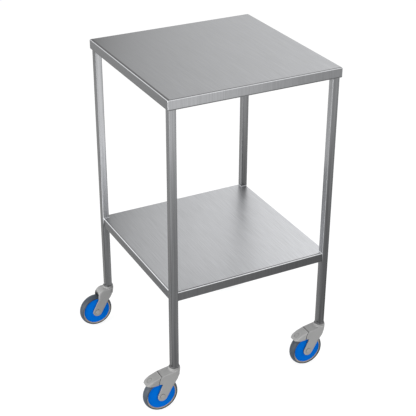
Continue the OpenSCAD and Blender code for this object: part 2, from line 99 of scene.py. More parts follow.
def addNode(tree, kind, **settings):
    node = tree.nodes.new(kind)
    for key, value in settings.items():
        setattr(node, key, value)
    return node


def plug(tree, source, target):
    tree.links.new(source, target)


def setSockets(tree, node, values):
    for socket, value in values:
        if isinstance(value, (int, float)):
            socket.default_value = value
        elif isinstance(value, tuple):
            socket.default_value = (*value, 1.0) if len(socket.default_value) == 4 else value
        else:
            plug(tree, value, socket)
    return node


# A Math node with two inputs
def math2(tree, operation, a, b=0.0):
    node = addNode(tree, "ShaderNodeMath", operation=operation)
    return setSockets(tree, node, zip(node.inputs, (a, b))).outputs["Value"]


# A smooth change from toLow to toHigh while the value goes from low to high
def ramp(tree, value, low, high, toLow=0.0, toHigh=1.0):
    node = addNode(tree, "ShaderNodeMapRange", interpolation_type="SMOOTHSTEP")
    return setSockets(tree, node, zip(node.inputs, (value, low, high, toLow, toHigh))).outputs["Result"]


def dotWith(tree, coords, direction):
    node = addNode(tree, "ShaderNodeVectorMath", operation="DOT_PRODUCT")
    return setSockets(tree, node, zip(node.inputs, (coords, direction))).outputs["Value"]


def mixColour(tree, factor, colourA, colourB, blend="MIX"):
    node = addNode(tree, "ShaderNodeMix", data_type="RGBA", blend_type=blend)
    sockets = (node.inputs[0], node.inputs[6], node.inputs[7])
    return setSockets(tree, node, zip(sockets, (factor, colourA, colourB))).outputs[2]


def tinted(tree, colour, tint):
    return mixColour(tree, 1.0, colour, tint, "MULTIPLY")


def asColour(tree, value):
    node = addNode(tree, "ShaderNodeCombineColor")
    for socket in node.inputs:
        plug(tree, value, socket)
    return node.outputs["Color"]


def stretched(tree, coords, scale):
    node = addNode(tree, "ShaderNodeVectorMath", operation="MULTIPLY")
    return setSockets(tree, node, zip(node.inputs, (coords, scale))).outputs["Vector"]


def distanceFrom(tree, coords, centre):
    node = addNode(tree, "ShaderNodeVectorMath", operation="DISTANCE")
    return setSockets(tree, node, zip(node.inputs, (coords, centre))).outputs["Value"]


def noise(tree, coords, scale, detail=3.0):
    texture = addNode(tree, "ShaderNodeTexNoise")
    texture.inputs["Scale"].default_value = scale
    texture.inputs["Detail"].default_value = detail
    plug(tree, coords, texture.inputs["Vector"])
    return texture.outputs["Fac"]


def addBump(tree, shader, height, strength, distance):
    bump = addNode(tree, "ShaderNodeBump")
    bump.inputs["Strength"].default_value = strength
    bump.inputs["Distance"].default_value = distance
    plug(tree, height, bump.inputs["Height"])
    plug(tree, bump.outputs["Normal"], shader.inputs["Normal"])


# One for the rays that show the background as it is: seen, mirrored or passed through
def whiteRays(tree):
    rays = addNode(tree, "ShaderNodeLightPath").outputs
    seen = math2(tree, "MAXIMUM", rays["Is Camera Ray"], rays["Is Glossy Ray"])
    return math2(tree, "MAXIMUM", seen, rays["Is Transmission Ray"])


# Steel is a little blue
def grey(level):
    return (level, level * 1.012, level * 1.04)


# Where most values of a noise texture lie, and nearly all
noiseMiddle = (0.3, 0.7)
noiseBroad = (0.25, 0.75)

# Brushed stainless: grain along Y on the faces, upright on the front and back aprons
steelLook = {
    "grain": 900.0,  # streaks per metre across the grain
    "grainSlow": 0.012,  # how slowly a streak changes along the grain
    "grainDepth": 0.35,  # bump strength
    "streakTint": (0.88, 1.10),
    "roughness": (0.28, 0.42),
    "bump": 0.00006,
    "paintedDarkTone": 0.035,  # painted shade of the dark lines beside the folds and of a panel's low edge
}
# A panel's aprons, faces and folds are told apart by the size of the normal's parts
panelLook = {
    "facesAside": 0.7,  # least part along X or Y on an apron
    "facesUp": 0.9,  # least part along Z on the upper face
    "foldLargest": (0.98, 0.85),  # largest part where a fold begins and is full
    "foldRise": (0.1, 0.4, 0.3, 0.85),  # part along Z at a low fold and at a top one, and the strength of their painted highlight
    "lowEdge": (0.0045, 0.0025),  # heights over the panel's foot where its painted dark low edge begins and is full
    "leastAcross": 0.001,  # keeps the bent tone's power off zero
}
# Painted light and shade run from a panel's left end to its right end; a painted dark line, standing in for
# a reflection, has a start, an end and a strength
panelPaintedLight = {
    "top": {
        "face": (0.03, 0.49), "front": (0.41, 0.23), "side": (0.145, 0.15), "lean": -0.5, "bend": 0.42,
        "fold": 0.76, "lowEdge": 0.75,
        "darkLeft": (0.0065, 0.0085, 0.80), "darkFront": (0.0045, 0.0068, 0.68),
    },
    "shelf": {
        "face": (0.10, 0.70), "front": (0.12, 0.082), "side": (0.085, 0.12), "lean": -0.55, "bend": 0.45,
        "fold": 0.98, "lowEdge": 0.15,
        "darkLeft": (0.0045, 0.0065, 0.35), "darkFront": (0.0045, 0.0065, 0.70),
    },
    "channel": {
        "face": (0.40, 0.42), "front": (0.36, 0.36), "side": (0.36, 0.36), "lean": 0.0, "bend": 1.0,
        "fold": 0.50, "lowEdge": 0.0,
        "darkLeft": (0.001, 0.002, 0.0), "darkFront": (0.001, 0.002, 0.0),
    },
}


def panelSteel(name, tones, low, high):
    material, tree, shader = newMaterial(name)
    place = addNode(tree, "ShaderNodeTexCoord")
    coords = place.outputs["Object"]
    facing = addNode(tree, "ShaderNodeVectorMath", operation="ABSOLUTE")
    plug(tree, place.outputs["Normal"], facing.inputs[0])
    split = addNode(tree, "ShaderNodeSeparateXYZ")
    plug(tree, facing.outputs[0], split.inputs[0])
    normalX, normalY, normalZ = split.outputs
    facesSide = math2(tree, "GREATER_THAN", normalX, panelLook["facesAside"])
    facesFront = math2(tree, "GREATER_THAN", normalY, panelLook["facesAside"])
    facesUp = math2(tree, "GREATER_THAN", normalZ, panelLook["facesUp"])
    most = math2(tree, "MAXIMUM", math2(tree, "MAXIMUM", normalX, normalY), normalZ)

    # Painted light and shade: the upper face goes from dark on the left to light on the right, and the
    # aprons have painted tones of their own
    lean = tones["lean"]
    middle = (low + high) / 2
    half = (high.x - low.x) / 2 + abs(lean) * (high.y - low.y) / 2
    start = middle.x + middle.y * lean - half
    across = math2(tree, "SUBTRACT", dotWith(tree, coords, (1.0, lean, 0.0)), start)
    across = math2(tree, "DIVIDE", across, 2 * half)
    across = math2(tree, "MINIMUM", math2(tree, "MAXIMUM", across, panelLook["leastAcross"]), 1.0)
    bent = math2(tree, "POWER", across, tones["bend"])
    alongX = ramp(tree, dotWith(tree, coords, axisX), low.x, high.x)
    face, front, side = ([grey(level) for level in tones[key]] for key in ("face", "front", "side"))
    colour = mixColour(tree, bent, *face)
    colour = mixColour(tree, facesFront, colour, mixColour(tree, alongX, *front))
    colour = mixColour(tree, facesSide, colour, mixColour(tree, alongX, *side))

    # Folds get a painted highlight, with a painted dark reflection line inside the left and front ones
    dark = grey(steelLook["paintedDarkTone"])
    for key, direction, edge in (("darkLeft", axisX, low.x), ("darkFront", axisY, low.y)):
        begin, finish, strength = tones[key]
        inward = math2(tree, "SUBTRACT", dotWith(tree, coords, direction), edge)
        line = math2(tree, "MULTIPLY", ramp(tree, inward, finish, begin, 0.0, strength), facesUp)
        colour = mixColour(tree, line, colour, dark)
    rise = ramp(tree, normalZ, *panelLook["foldRise"])
    fold = math2(tree, "MULTIPLY", ramp(tree, most, *panelLook["foldLargest"]), rise)
    colour = mixColour(tree, fold, colour, grey(tones["fold"]))
    # Painted shade along the low edge of the aprons
    begin, full = (low.z + height for height in panelLook["lowEdge"])
    lowEdge = ramp(tree, dotWith(tree, coords, axisZ), begin, full, 0.0, tones["lowEdge"])
    colour = mixColour(tree, lowEdge, colour, dark)

    # Grain
    slow = steelLook["grainSlow"]
    acrossX = noise(tree, stretched(tree, coords, (1.0, slow, slow)), steelLook["grain"])
    acrossZ = noise(tree, stretched(tree, coords, (1.0, slow, 1.0)), steelLook["grain"])
    blend = addNode(tree, "ShaderNodeMix", data_type="FLOAT")
    sockets = (blend.inputs[0], blend.inputs[2], blend.inputs[3])
    streak = setSockets(tree, blend, zip(sockets, (facesSide, acrossX, acrossZ))).outputs[0]
    tint = asColour(tree, ramp(tree, streak, *noiseMiddle, *steelLook["streakTint"]))
    plug(tree, tinted(tree, colour, tint), shader.inputs["Base Color"])
    plug(tree, ramp(tree, streak, *noiseBroad, *steelLook["roughness"]), shader.inputs["Roughness"])
    shader.inputs["Metallic"].default_value = 1.0
    addBump(tree, shader, streak, steelLook["grainDepth"], steelLook["bump"])
    return material


# Square tube: grain along its length, soft lengthwise bands, painted light and shade down each face, a
# painted highlight on one pair of rounded corners and painted shade on the other
tubeLook = {
    # Painted light and shade of the faces toward Y and toward X: at the foot, under the shelf, over it, at
    # the top
    "tones": {
        "fl": ((0.115, 0.15, 0.155, 0.33), (0.085, 0.095, 0.095, 0.155)),
        "fr": ((0.09, 0.095, 0.10, 0.21), (0.13, 0.13, 0.38, 0.25)),
        "bl": ((0.155, 0.16, 0.98, 0.45), (0.075, 0.075, 0.09, 0.125)),
        "br": ((0.10, 0.10, 0.12, 0.25), (0.10, 0.10, 0.20, 0.215)),
    },
    "settled": {"fl": 0.90, "fr": 0.90, "bl": 0.70, "br": 0.90},  # height of the fourth tone
    "facesX": (0.3, 0.9),  # normal's X part, from a face toward Y to one toward X
    "cornerTurn": (0.1, 0.4),  # normal's X part times its Y part where a corner begins and is full
    # Painted highlight on the corners where the normal's X and Y parts have the same sign, painted shade on
    # the others
    "cornerHighlight": {"fl": 1.2, "fr": 1.1, "bl": 0.9, "br": 1.1},
    "cornerShade": 0.35,
    "paintedOverCollar": 0.17,  # painted shade just over the collar, matte and not metal, in place of the collar that a bright tube would mirror
    "collarReach": (0.0050, 0.0032),  # heights over the collar where it begins and is full
    "grainShare": 0.6,  # of the panels' grain
    "grainDepth": 0.3,
    "streakTint": (0.92, 1.06),
    "bands": 160.0,  # per metre round the tube
    "bandSlow": 0.02,
    "bandTint": (0.80, 1.14),
    "roughness": (0.22, 0.34),
}


# Painted light and shade up one face of a tube, from its foot to its top
def tubeTone(tree, up, corner, tones):
    atFoot, underShelf, overShelf, atTop = tones
    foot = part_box("leg_" + corner)[0].z
    below = ramp(tree, up, foot, shelfLow.z, atFoot, underShelf)
    above = ramp(tree, up, shelfHigh.z, tubeLook["settled"][corner], overShelf, atTop)
    passes = ramp(tree, up, shelfLow.z, shelfHigh.z)
    return mixColour(tree, passes, asColour(tree, below), asColour(tree, above))


def tubeSteel(name, corner):
    look = tubeLook
    material, tree, shader = newMaterial(name)
    place = addNode(tree, "ShaderNodeTexCoord")
    coords = place.outputs["Object"]
    grain = steelLook["grain"] * look["grainShare"]
    streak = noise(tree, stretched(tree, coords, (1.0, 1.0, steelLook["grainSlow"])), grain)
    band = noise(tree, stretched(tree, coords, (1.0, 1.0, look["bandSlow"])), look["bands"], 1.0)
    up = dotWith(tree, coords, axisZ)
    normalX = dotWith(tree, place.outputs["Normal"], axisX)
    normalY = dotWith(tree, place.outputs["Normal"], axisY)
    face, side = (tubeTone(tree, up, corner, tones) for tones in look["tones"][corner])
    facesX = ramp(tree, math2(tree, "ABSOLUTE", normalX), *look["facesX"])
    colour = mixColour(tree, facesX, face, side)

    # Painted highlight and painted shade on the rounded corners
    turn = math2(tree, "MULTIPLY", normalX, normalY)
    begin, full = look["cornerTurn"]
    light = ramp(tree, turn, begin, full, 1.0, look["cornerHighlight"][corner])
    dark = ramp(tree, turn, -begin, -full, 1.0, look["cornerShade"])
    colour = tinted(tree, colour, asColour(tree, math2(tree, "MULTIPLY", light, dark)))
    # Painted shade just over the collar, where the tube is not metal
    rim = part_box("fork_" + corner)[1].z
    nearFoot = ramp(tree, up, *[rim + reach for reach in look["collarReach"]])
    colour = mixColour(tree, nearFoot, colour, (look["paintedOverCollar"],) * 3)

    streakTint = ramp(tree, streak, *noiseMiddle, *look["streakTint"])
    bandTint = ramp(tree, band, *noiseMiddle, *look["bandTint"])
    colour = tinted(tree, colour, asColour(tree, math2(tree, "MULTIPLY", streakTint, bandTint)))
    plug(tree, tinted(tree, colour, grey(1.0)), shader.inputs["Base Color"])
    plug(tree, ramp(tree, streak, *noiseBroad, *look["roughness"]), shader.inputs["Roughness"])
    plug(tree, math2(tree, "SUBTRACT", 1.0, nearFoot), shader.inputs["Metallic"])
    addBump(tree, shader, streak, look["grainDepth"], steelLook["bump"])
    return material


# Turned pins, bearings and weld beads
plainLook = {
    "pinSteel": (0.5, 0.3),  # tone and roughness
    "weldSteel": (0.42, 0.35),
    # Its bright tone is a painted highlight on the shelf's rim round each leg
    "rimSteelHighlight": (0.85, 0.40),
    "mottle": 400.0,  # spots per metre
    "mottleTint": (0.85, 1.1),
    "mottleRough": (-0.06, 0.08),  # added to the roughness
    "mottleDepth": 0.15,
}


def plainSteel(name):
    level, roughness = plainLook[name]
    material, tree, shader = newMaterial(name)
    coords = addNode(tree, "ShaderNodeTexCoord").outputs["Object"]
    mottle = noise(tree, coords, plainLook["mottle"])
    dark, light = (grey(level * share) for share in plainLook["mottleTint"])
    plug(tree, mixColour(tree, mottle, dark, light), shader.inputs["Base Color"])
    rough = [roughness + more for more in plainLook["mottleRough"]]
    plug(tree, ramp(tree, mottle, *noiseMiddle, *rough), shader.inputs["Roughness"])
    shader.inputs["Metallic"].default_value = 1.0
    addBump(tree, shader, mottle, plainLook["mottleDepth"], steelLook["bump"])
    return material


# Moulded plastics: colour, roughness, specular level, grain per metre, bump strength
plasticLook = {
    "casterGrey": ((0.335, 0.335, 0.333), 0.48, 0.45, 1800.0, 0.12),
    "capGrey": ((0.445, 0.445, 0.443), 0.45, 0.45, 1800.0, 0.12),
    "collarGrey": ((0.335, 0.335, 0.333), 0.48, 0.45, 1800.0, 0.12),
    "coreGrey": ((0.64, 0.57, 0.48), 0.50, 0.40, 1800.0, 0.12),
    "coverBlue": ((0.0, 0.205, 0.90), 0.42, 0.03, 900.0, 0.05),
    "plugDark": ((0.020, 0.020, 0.022), 0.50, 0.40, 1800.0, 0.12),
    "shoeRubber": ((0.018, 0.018, 0.020), 0.60, 0.30, 1200.0, 0.20),
    "broad": 35.0,  # slow changes of tone per metre
    "broadTint": (0.94, 1.05),
    "grainRough": (-0.04, 0.05),  # added to the roughness
    "bump": 0.00008,
    "noCavity": ("collarGrey", "coreGrey"),
    "capTurn": (0.75, 0.97),  # normal's part along the axle at a cap's rim and on its face
    # Painted shade on a cap's upright rim, where the groove round it is shaded
    "capRimShade": 0.2,
}
# Painted shade in creases
cavityLook = {
    "reach": 0.005,  # how near another surface has to be
    "shade": 0.12,  # where it is darkest
    "closed": 0.15,  # how open a place is there
    "unshaded": 0.85,  # and where the shade ends
    "samples": 8,
}


def cavity(tree, reach=cavityLook["reach"], shade=cavityLook["shade"], unshaded=cavityLook["unshaded"]):
    near = addNode(tree, "ShaderNodeAmbientOcclusion", samples=cavityLook["samples"])
    near.inputs["Distance"].default_value = reach
    return asColour(tree, ramp(tree, near.outputs["AO"], cavityLook["closed"], unshaded, shade, 1.0))


# Multiplies the colour that a shader already has
def tintMore(tree, shader, tint):
    made = shader.inputs["Base Color"].links[0].from_socket
    plug(tree, tinted(tree, made, tint), shader.inputs["Base Color"])


def mouldedPlasticParts(name):
    colour, roughness, specular, grain, strength = plasticLook[name]
    material, tree, shader = newMaterial(name)
    coords = addNode(tree, "ShaderNodeTexCoord").outputs["Object"]
    fine = noise(tree, coords, grain, 2.0)
    broad = noise(tree, coords, plasticLook["broad"], 2.0)
    dark, light = (tuple(part * share for part in colour) for share in plasticLook["broadTint"])
    plug(tree, mixColour(tree, broad, dark, light), shader.inputs["Base Color"])
    # Painted shade in creases, except on the collar and the wheel core
    if name not in plasticLook["noCavity"]:
        tintMore(tree, shader, cavity(tree))
    rough = [roughness + more for more in plasticLook["grainRough"]]
    plug(tree, ramp(tree, fine, *noiseMiddle, *rough), shader.inputs["Roughness"])
    shader.inputs["Specular IOR Level"].default_value = specular
    addBump(tree, shader, fine, strength, plasticLook["bump"])
    return material, tree, shader


def mouldedPlastic(name):
    return mouldedPlasticParts(name)[0]


# How far a surface looks along the axles, from 0 to 1
def alongAxle(tree):
    place = addNode(tree, "ShaderNodeTexCoord")
    return math2(tree, "ABSOLUTE", dotWith(tree, place.outputs["Normal"], axisY))


# An axle cap has painted shade round its upright rim
def capPlastic():
    material, tree, shader = mouldedPlasticParts("capGrey")
    tone = ramp(tree, alongAxle(tree), *plasticLook["capTurn"], plasticLook["capRimShade"], 1.0)
    tintMore(tree, shader, asColour(tree, tone))
    return material


# The tyre's sides are darker than its tread
tyreLook = {
    "side": (0.022, 0.030, 0.042),
    "tread": (0.040, 0.054, 0.074),
    "drop": 0.0058,  # from the tread's middle to where the side's colour ends
    "blend": 0.003,
    "scuff": 260.0,
    "scuffTint": (0.35, 0.75, 0.94, 1.12),  # part of the noise, and its tint
    "roughness": (0.50, 0.65),
    "grain": 1500.0,
    "grainDepth": 0.15,
}


def treadRubber(corner):
    low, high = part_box("tyre_" + corner)
    centre = (low + high) / 2
    material, tree, shader = newMaterial("treadRubber_" + corner)
    coords = addNode(tree, "ShaderNodeTexCoord").outputs["Object"]
    away = distanceFrom(tree, stretched(tree, coords, (1.0, 0.0, 1.0)), (centre.x, 0.0, centre.z))
    edge = (high.z - low.z) / 2 - tyreLook["drop"]
    tread = ramp(tree, away, edge - tyreLook["blend"] / 2, edge + tyreLook["blend"] / 2)
    scuff = noise(tree, coords, tyreLook["scuff"], 4.0)
    colour = mixColour(tree, tread, tyreLook["side"], tyreLook["tread"])
    colour = tinted(tree, colour, asColour(tree, ramp(tree, scuff, *tyreLook["scuffTint"])))
    # Painted shade in creases
    plug(tree, tinted(tree, colour, cavity(tree)), shader.inputs["Base Color"])
    plug(tree, ramp(tree, scuff, *noiseMiddle, *tyreLook["roughness"]), shader.inputs["Roughness"])
    grain = noise(tree, coords, tyreLook["grain"], 2.0)
    addBump(tree, shader, grain, tyreLook["grainDepth"], plasticLook["bump"])
    return material


def setMaterial(nodeName, material):
    mesh = nodes[nodeName].data
    mesh.materials.clear()
    mesh.materials.append(material)


def dressNodes():
    setMaterial("top_panel", panelSteel("topSteel", panelPaintedLight["top"], topLow, topHigh))
    setMaterial("lower_shelf", panelSteel("shelfSteel", panelPaintedLight["shelf"], shelfLow, shelfHigh))
    for name in ("top_stiffener", "shelf_stiffener"):
        low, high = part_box(name)
        setMaterial(name, panelSteel("channelSteel_" + name, panelPaintedLight["channel"], low, high))
    pin = plainSteel("pinSteel")
    plastics = {
        "wheel_core": "coreGrey", "wheel_covers": "coverBlue",
        "plug": "plugDark", "brake_shoe": "shoeRubber",
    }
    made = {kind: mouldedPlastic(look) for kind, look in plastics.items()}
    made["axle_caps"] = capPlastic()
    for kind in ("stem", "swivel_bearings", "axle", "wheel_bearings", "pedal_pin"):
        made[kind] = pin
    for name in nodes:
        kind, _, corner = name.rpartition("_")
        if corner not in allCorners:
            continue
        if kind == "leg":
            setMaterial(name, tubeSteel("legSteel_" + corner, corner))
        elif kind == "tyre":
            setMaterial(name, treadRubber(corner))
        elif kind in made:
            setMaterial(name, made[kind])


# Forks and pedals: soft-edged moulded copies of the solids
mouldLook = {
    "voxel": 0.0006,
    "mergeGap": 1e-6,
    "smoothRounds": 5,
    "smoothFactor": 0.5,
    "tipRounds": 50,  # more of it toward a pedal's tip
    "tipReach": 0.030,
    "tipLow": (0.0915, 0.0975),  # heights where the tip's smoothing begins and is full
    "creaseFromAxis": -0.0456,  # along X from the swivel axis
    "creaseGap": 0.0014,
    "dimpleFromAxis": -0.074,
    "dimpleRadius": 0.0074,
    "dimpleWall": 0.0009,
    "dimpleDepth": 0.0009,
    "dimpleUp": 0.5,  # least upward part of the normal where it presses
}
# Painted light and shade on the forks and pedals
mouldPaintedLight = {
    "cheek": {"fl": 1.26, "fr": 1.29, "bl": 1.08, "br": 1.08},  # painted light on the faces that look along the axle
    "cheekTurn": (0.35, 0.85),  # normal's part along the axle where that begins and is full
    "archReach": 0.03,  # of the painted deep shade inside a fork
    "archShade": 0.08,
    "archUnshaded": 0.6,
    # Painted shade on the front-left pedal, painted light on the front-right one
    "pedal": {"fl": 0.88, "fr": 1.08},
    "creaseShadeLine": (0.0013, 0.45),  # width and strength of the painted shade line and painted highlight line along the crease
    "creaseHighlightLine": (0.0018, 1.35),
    "creaseSoft": 1.3,  # where a line has faded, as a share of its width
    "facesUp": 0.4,  # least upward part of the normal where a line shows
    "ringOuter": (0.0006, -0.0004),  # outer edge of the dimple's painted dark ring, from the dimple's radius
    "ringInner": (-0.0014, -0.0024),  # its inner edge
    # Painted shade of the dimple's ring and of its floor
    "ringDark": 0.30,
    "dimpleFloor": 0.93,
}


# A leg stands on its caster's swivel axis
def legMiddle(corner):
    low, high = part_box("leg_" + corner)
    return (low + high) / 2


# Where a pedal's top ends at the crease, along X
def creaseAt(corner):
    return legMiddle(corner).x + mouldLook["creaseFromAxis"]


# One on top faces that are less than a width away from the crease
def creaseLine(tree, normal, away, width):
    onTop = math2(tree, "GREATER_THAN", dotWith(tree, normal, axisZ), mouldPaintedLight["facesUp"])
    return math2(tree, "MULTIPLY", ramp(tree, away, width * mouldPaintedLight["creaseSoft"], width), onTop)


# Painted light: faces that look along the axle are lighter
def cheekTone(tree, corner):
    light = mouldPaintedLight["cheek"][corner]
    return asColour(tree, ramp(tree, alongAxle(tree), *mouldPaintedLight["cheekTurn"], 1.0, light))


# A fork has painted deep shade inside its arch, and a painted dark line along the crease where a pedal
# meets it
def forkPlastic(corner):
    tones = mouldPaintedLight
    material, tree, shader = mouldedPlasticParts("casterGrey")
    tintMore(tree, shader, cavity(tree, tones["archReach"], tones["archShade"], tones["archUnshaded"]))
    tintMore(tree, shader, cheekTone(tree, corner))
    if corner in brakedCorners:
        place = addNode(tree, "ShaderNodeTexCoord")
        width, strength = tones["creaseShadeLine"]
        edge = creaseAt(corner) + mouldLook["creaseGap"]
        away = math2(tree, "SUBTRACT", dotWith(tree, place.outputs["Object"], axisX), edge)
        line = creaseLine(tree, place.outputs["Normal"], away, width)
        tintMore(tree, shader, mixColour(tree, line, (1.0, 1.0, 1.0), (strength,) * 3))
    return material


# A pedal has a painted highlight along its edge at the crease, an overall painted tone, and a painted dark
# ring round its dimple
def pedalPlastic(corner):
    tones = mouldPaintedLight
    material, tree, shader = mouldedPlasticParts("casterGrey")
    place = addNode(tree, "ShaderNodeTexCoord")
    coords = place.outputs["Object"]
    width, strength = tones["creaseHighlightLine"]
    inward = math2(tree, "SUBTRACT", creaseAt(corner), dotWith(tree, coords, axisX))
    line = creaseLine(tree, place.outputs["Normal"], inward, width)
    tintMore(tree, shader, mixColour(tree, line, (tones["pedal"][corner],) * 3, (strength,) * 3))
    tintMore(tree, shader, cheekTone(tree, corner))
    middle = legMiddle(corner)
    centre = (middle.x + mouldLook["dimpleFromAxis"], middle.y, 0.0)
    away = distanceFrom(tree, stretched(tree, coords, (1.0, 1.0, 0.0)), centre)
    radius = mouldLook["dimpleRadius"]
    within, deeper = (ramp(tree, away, *[radius + more for more in tones[key]])
                      for key in ("ringOuter", "ringInner"))
    ring = math2(tree, "MULTIPLY", math2(tree, "SUBTRACT", within, deeper), tones["ringDark"])
    floor = ramp(tree, deeper, 0.0, 1.0, 1.0, tones["dimpleFloor"])
    shade = math2(tree, "MULTIPLY", math2(tree, "SUBTRACT", 1.0, ring), floor)
    tintMore(tree, shader, asColour(tree, shade))
    return material


# Turns a piece's modifiers into its mesh
def bakeModifiers(piece):
    bpy.context.view_layer.update()
    shape = piece.evaluated_get(bpy.context.evaluated_depsgraph_get())
    made = bpy.data.meshes.new_from_object(shape)
    piece.modifiers.clear()
    piece.data = made


# A smooth step from 0 at low to 1 at high
def smoothStep(value, low, high):
    t = min(max((value - low) / (high - low), 0.0), 1.0)
    return t * t * (3 - 2 * t)


def addSmoothing(piece, name, rounds):
    soften = piece.modifiers.new(name, "SMOOTH")
    soften.factor = mouldLook["smoothFactor"]
    soften.iterations = rounds
    return soften


# Rounds a pedal's tip
def roundTip(piece):
    tip = min(vertex.co.x for vertex in piece.data.vertices)
    group = piece.vertex_groups.new(name="tip")
    for vertex in piece.data.vertices:
        weight = smoothStep(vertex.co.x, tip + mouldLook["tipReach"], tip)
        weight *= smoothStep(vertex.co.z, *mouldLook["tipLow"])
        if weight > 0:
            group.add([vertex.index], weight, "REPLACE")
    addSmoothing(piece, "tip", mouldLook["tipRounds"]).vertex_group = "tip"
    bakeModifiers(piece)


def softCopy(nodeName, pieceName):
    mesh = nodes[nodeName].data.copy()
    mesh.materials.clear()
    form = bmesh.new()
    form.from_mesh(mesh)
    bmesh.ops.remove_doubles(form, verts=form.verts, dist=mouldLook["mergeGap"])
    form.to_mesh(mesh)
    form.free()
    piece = bpy.data.objects.new(pieceName, mesh)
    bpy.context.scene.collection.objects.link(piece)
    remesh = piece.modifiers.new("mould", "REMESH")
    remesh.mode = "VOXEL"
    remesh.voxel_size = mouldLook["voxel"]
    addSmoothing(piece, "soften", mouldLook["smoothRounds"])
    bakeModifiers(piece)
    for face in piece.data.polygons:
        face.use_smooth = True
    return piece


# The round thumb dimple on a pedal's top
def pressDimple(piece, corner):
    middle = legMiddle(corner)
    centreX = middle.x + mouldLook["dimpleFromAxis"]
    reach, wall = mouldLook["dimpleRadius"], mouldLook["dimpleWall"]
    for vertex in piece.data.vertices:
        away = math.hypot(vertex.co.x - centreX, vertex.co.y - middle.y)
        if away < reach and vertex.normal.z > mouldLook["dimpleUp"]:
            vertex.co.z -= mouldLook["dimpleDepth"] * smoothStep(reach - away, 0.0, wall)


def makeMouldings():
    for corner in allCorners:
        fork = softCopy("fork_" + corner, "forkSoft_" + corner)
        fork.data.materials.append(forkPlastic(corner))
        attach(fork, "swivel_" + corner)
        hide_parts("fork_" + corner)
        print("stage: fork", corner, len(fork.data.polygons), "faces")
    for corner in brakedCorners:
        pedal = softCopy("pedal_" + corner, "pedalSoft_" + corner)
        roundTip(pedal)
        pressDimple(pedal, corner)
        pedal.data.materials.append(pedalPlastic(corner))
        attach(pedal, "pedal_" + corner)
        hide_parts("pedal_" + corner)
        print("stage: pedal", corner, len(pedal.data.polygons), "faces")


# The collar's thin rim round each leg's foot, turned about the swivel axis, and the ring inside it that
# fills the collar round the square tube
collarLook = {
    "profile": [  # radius, and depth below the rim
        (0.01365, 0.0060), (0.01365, 0.0008), (0.01395, 0.0002), (0.01440, 0.0), (0.01485, 0.0002),
        (0.01530, 0.0012), (0.01555, 0.0030), (0.01580, 0.0052), (0.01580, 0.0060),
    ],
    "turns": 96,
    "tubeCorner": 0.0025,
    "ringReach": 0.0134,
    "ringTop": 0.0009,
    "ringDepth": 0.002,
    "ringEdge": 0.0002,
}


def makePiece(pieceName, verts, faces, material, body):
    mesh = bpy.data.meshes.new(pieceName)
    mesh.from_pydata(verts, [], faces)
    form = bmesh.new()
    form.from_mesh(mesh)
    bmesh.ops.recalc_face_normals(form, faces=form.faces)
    form.to_mesh(mesh)
    form.free()
    for face in mesh.polygons:
        face.use_smooth = True
    mesh.materials.append(material)
    piece = bpy.data.objects.new(pieceName, mesh)
    bpy.context.scene.collection.objects.link(piece)
    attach(piece, body)
    return piece


# Faces of a closed ring: turns sections of count corners each
def ringFaces(turns, count):
    faces = []
    for turn in range(turns):
        after = (turn + 1) % turns
        for i in range(count):
            j = (i + 1) % count
            faces.append((turn * count + i, turn * count + j, after * count + j, after * count + i))
    return faces


# Distance from a square tube's axis to its rounded outline
def tubeOutline(angle, side, corner):
    x, y = abs(math.cos(angle)), abs(math.sin(angle))
    x, y = max(x, y), min(x, y)
    reach = side / 2 / x
    flat = side / 2 - corner
    if reach * y <= flat:
        return reach
    along = flat * (x + y)
    return along + math.sqrt(max(along * along - 2 * flat * flat + corner * corner, 0.0))


def makeCollars():
    look = collarLook
    plastic = mouldedPlastic("collarGrey")
    turns = look["turns"]
    angles = [2 * math.pi * turn / turns for turn in range(turns)]
    reach, edge, top = look["ringReach"], look["ringEdge"], look["ringTop"]
    foot = top + look["ringDepth"]
    for corner in allCorners:
        legLow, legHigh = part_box("leg_" + corner)
        axis = (legLow + legHigh) / 2
        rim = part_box("fork_" + corner)[1].z

        def place(angle, radius, below):
            return (axis.x + radius * math.cos(angle), axis.y + radius * math.sin(angle), rim - below)

        verts = [place(angle, *point) for angle in angles for point in look["profile"]]
        makePiece("collarRim_" + corner, verts, ringFaces(turns, len(look["profile"])), plastic,
                  "swivel_" + corner)
        verts = []
        for angle in angles:
            inner = tubeOutline(angle, legHigh.x - legLow.x, look["tubeCorner"])
            outline = [(inner, foot), (inner, top), (reach - edge, top), (reach, top + edge), (reach, foot)]
            verts += [place(angle, *point) for point in outline]
        makePiece("footRing_" + corner, verts, ringFaces(turns, len(outline)), plastic,
                  "root")


# Weld beads that follow the legs under both panels, and spot welds along the channels' flanges
weldLook = {
    "bead": {"Step": 0.0015, "Radius": 0.0013, "Flatness": 0.8},
    "rim": {"Step": 0.00105, "Radius": 0.0011, "Flatness": 0.8},  # on the shelf's upper face
    "spot": {"Step": 0.045, "Radius": 0.0032, "Flatness": 0.08},
    "beadSink": 0.4,  # how far a bead is under the sheet, as a share of its radius
    "beadMesh": {"Segments": 12, "Rings": 8},
    "unevenness": 0.12,
    "seed": 7,
    "gap": 0.0004,  # between a leg and the sheet round it
    "sheet": 0.0012,
    "legEnd": 0.003,  # what a path leaves free at a leg's outer corners
    "channelEnd": 0.02,
    "flangeMiddle": 0.007,  # from a channel's edge
}


